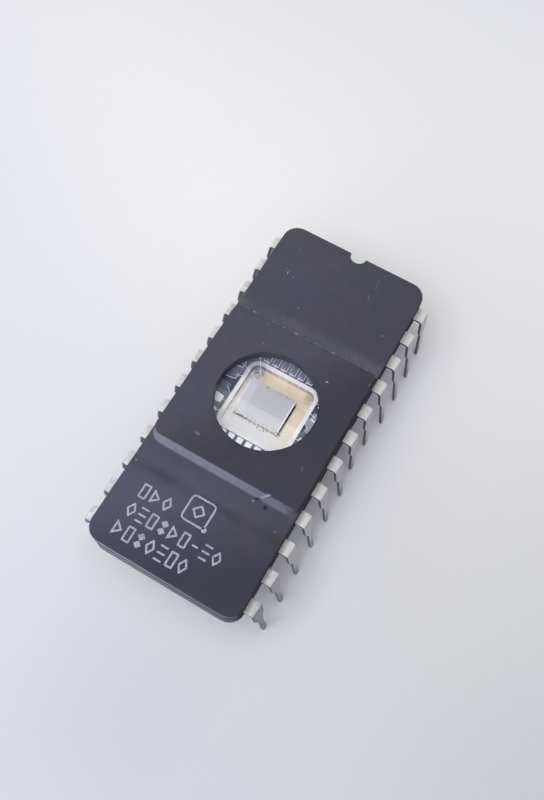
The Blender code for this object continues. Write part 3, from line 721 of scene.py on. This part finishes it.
# The pale marks at y about 6.26 along the far crest, and the one at x 6.30 up the block's right edge, are wear and
# painted highlight.
PALE_ON_BLOCK = (
    (3.31, 3.79, 0.34, 0.20, 20), (-0.87, 6.26, 0.42, 0.09, 4), (-4.72, 6.27, 0.50, 0.07, 0),
    (-2.06, 6.26, 0.16, 0.07, 0), (2.45, 6.26, 0.45, 0.05, 0), (6.30, 5.27, 0.30, 0.06, 100),
)
PALE_ON_ENDS = (
    (-4.40, 11.20, 0.36, 0.13, 110), (3.09, -7.34, 0.22, 0.17, 0), (-6.20, -9.04, 0.20, 0.16, 0),
    (5.17, 9.96, 0.18, 0.12, 30),
)
# The thin marks at y about 6.27 and 6.08 on the far crest and its right corner are wear and painted highlight.
FAINT_ON_BLOCK = (
    (-3.20, -5.02, 0.60, 0.26, 0), (5.09, -3.47, 0.55, 0.12, 120), (-2.75, 4.18, 0.30, 0.20, 0),
    (-0.33, 5.94, 0.16, 0.10, 0), (5.94, 6.08, 0.20, 0.08, 0), (-3.26, 5.87, 0.22, 0.16, 0),
    (-2.67, 5.49, 0.30, 0.09, -20), (-5.55, 6.27, 0.30, 0.06, 0),
)
FAINT_ON_ENDS = (
    (-4.67, 11.54, 0.30, 0.12, 100), (-3.81, 11.04, 0.36, 0.22, 0), (2.60, 14.10, 1.30, 0.06, 95),
    (-4.60, 13.66, 0.40, 0.10, 60), (4.71, 7.58, 0.20, 0.10, 0), (-1.73, 7.34, 0.30, 0.14, 0),
    (1.86, -9.49, 0.16, 0.12, 0), (5.68, -8.56, 0.26, 0.12, 40), (-1.98, 8.71, 0.34, 0.17, 0),
    (2.55, 12.50, 0.80, 0.12, 112),
)
DARK_ON_DIE = (
    (0.30, 1.72, 0.24, 0.11, 10), (0.62, 1.70, 0.16, 0.10, 0), (0.95, 1.73, 0.20, 0.09, -15),
    (-0.77, 1.65, 0.17, 0.13, 0), (1.42, -1.34, 0.20, 0.10, 20), (1.70, -1.35, 0.13, 0.10, 0),
)
DARK_ON_FLOOR = (
    (0.12, -1.60, 0.18, 0.13, 30), (0.42, -1.66, 0.26, 0.12, -10), (0.70, -1.58, 0.16, 0.13, 0),
    (-1.30, -1.52, 0.15, 0.09, 0), (1.98, -1.30, 0.12, 0.16, 0),
)
FLOOR_LEVEL = 5.45
FLAKE_SIDES = 9


def add_flake(shape, random, height, x, y, length, width, turn):
    """A flake with an uneven edge, lying on a flat surface."""
    outline = []
    for i in range(FLAKE_SIDES):
        angle = 2 * pi * i / FLAKE_SIDES
        reach = random.uniform(0.65, 1.0)
        outline.append((length / 2 * reach * cos(angle), width / 2 * reach * sin(angle)))
    add_slab(shape, placed(outline, x, y, turn), height - INK_SINK, height + SCUFF_HEIGHT)


def make_scuffs():
    random = Random(7)
    for name, finish, on_block, on_ends in (("pale_wear_and_glints", pale_wear_and_glint(), PALE_ON_BLOCK, PALE_ON_ENDS),
                                            ("faint_wear_and_glints", faint_wear_and_glint(), FAINT_ON_BLOCK, FAINT_ON_ENDS)):
        shape = bmesh.new()
        for flake in on_block:
            add_flake(shape, random, BLOCK_TOP, *flake)
        for flake in on_ends:
            add_flake(shape, random, END_TOP, *flake)
        add_piece(name, shape, finish)
    shape = bmesh.new()
    for flake in DARK_ON_DIE:
        add_flake(shape, random, DIE_HIGH.z, *flake)
    for flake in DARK_ON_FLOOR:
        add_flake(shape, random, FLOOR_LEVEL, *flake)
    add_piece("window_debris", shape, dark_speck())


# Studio

def add_area_light(name, place, aim, size, power, tone):
    light = bpy.data.lights.new(name, "AREA")
    light.shape = "RECTANGLE"
    light.size = size[0]
    light.size_y = size[1]
    light.energy = power
    light.color = tone
    item = bpy.data.objects.new(name, light)
    item.location = place
    item.rotation_mode = "QUATERNION"
    item.rotation_quaternion = (Vector(aim) - Vector(place)).to_track_quat("-Z", "Y")
    bpy.context.scene.collection.objects.link(item)


def add_panel(name, place, aim, size, radiance, tone):
    """An area light given by how bright it looks."""
    add_area_light(name, place, aim, size, radiance * pi * size[0] * size[1], tone)


def make_world(scene):
    """A pale room low down all round; higher up it is dim, but for the near side and the left."""
    world = bpy.data.worlds.new("studio")
    world.use_nodes = True
    tree = world.node_tree
    background = tree.nodes["Background"]
    place = node(tree, "TexCoord", {})
    x, y, z = axes(tree, place.outputs["Generated"])
    near = spread(tree, y, -0.7, 0.36, 0.9, 0.06)
    left = spread(tree, x, -0.8, 0.8, 1.0, 0.5)
    low = spread(tree, z, 0.15, 0.50, 0.95, 0.0)
    join(tree, background.inputs["Strength"], most(tree, times(tree, near, left), low))
    background.inputs["Color"].default_value = colour(0.90, 0.91, 1.0)
    scene.world = world


CHIP = (0.0, 0.0, 0.006)


def make_studio():
    scene = bpy.context.scene
    scene.view_settings.view_transform = "Standard"
    make_world(scene)
    add_panel("main", (-0.20, -0.50, 1.0), (-0.20, -0.50, 0.0), (1.0, 1.00), 2.62, (0.97, 0.975, 1.0))
    add_panel("ceiling", (-0.05, 0.1775, 1.0), (-0.05, 0.1775, 0.0), (1.1, 0.355), 1.19, (0.97, 0.975, 1.0))
    add_panel("window", (-0.26, -0.93, 0.20), CHIP, (1.0, 0.40), 2.85, (0.945, 0.948, 1.0))
    add_panel("far_wall", (-0.10, 1.05, 0.42), CHIP, (1.6, 0.40), 2.0, (0.96, 0.962, 1.0))

    floor_mesh = bpy.data.meshes.new("floor")
    shape = bmesh.new()
    bmesh.ops.create_grid(shape, x_segments=1, y_segments=1, size=1.3)
    shape.to_mesh(floor_mesh)
    shape.free()
    floor = bpy.data.objects.new("floor", floor_mesh)
    scene.collection.objects.link(floor)
    floor_mesh.materials.append(table_top())

    camera_data = bpy.data.cameras.new("camera")
    camera_data.lens = 37.857
    camera_data.sensor_width = 36.0
    camera_data.clip_start = 0.001
    camera_data.clip_end = 20.0
    camera = bpy.data.objects.new("camera", camera_data)
    camera.location = (0.011285, -0.022511, 0.068470)
    camera.rotation_euler = (radians(22.632), radians(-1.766), radians(29.901))
    scene.collection.objects.link(camera)
    scene.camera = camera


def refine(item, width):
    """Takes the hardness off a solid's edges and shades its round parts smoothly."""
    item.data.shade_smooth()
    weld = item.modifiers.new("weld", "WELD")
    weld.merge_threshold = 1e-7
    flats = item.modifiers.new("flats", "DECIMATE")
    flats.decimate_type = "DISSOLVE"
    flats.angle_limit = radians(0.5)
    edge = item.modifiers.new("edge", "BEVEL")
    edge.width = width * MM
    edge.segments = 2
    edge.limit_method = "ANGLE"
    edge.angle_limit = radians(28)
    edge.harden_normals = True
    normals = item.modifiers.new("normals", "WEIGHTED_NORMAL")
    normals.keep_sharp = True


def dress():
    ceramic = dark_ceramic()
    finishes = {
        "ceramic_base": ceramic,
        "ceramic_lid": ceramic,
        "seal_glass": sealing_glass(),
        "window_lens": window_glass(),
        "cavity_plating": cavity_metal(),
        "die_attach": die_paste(),
        "silicon_die": silicon(),
    }
    tin = tinned_metal()
    wire = wire_metal()
    for name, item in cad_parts.items():
        finish = finishes.get(name)
        if finish is None:
            finish = wire if name.startswith("bond_wire") else tin
        for slot in item.material_slots:
            slot.material = finish
        if name in ("ceramic_base", "ceramic_lid"):
            refine(item, 0.02)
        elif name.startswith("lead"):
            refine(item, 0.045)
        elif name == "window_lens":
            item.visible_shadow = False


dress()
make_ink()
make_scuffs()
make_studio()
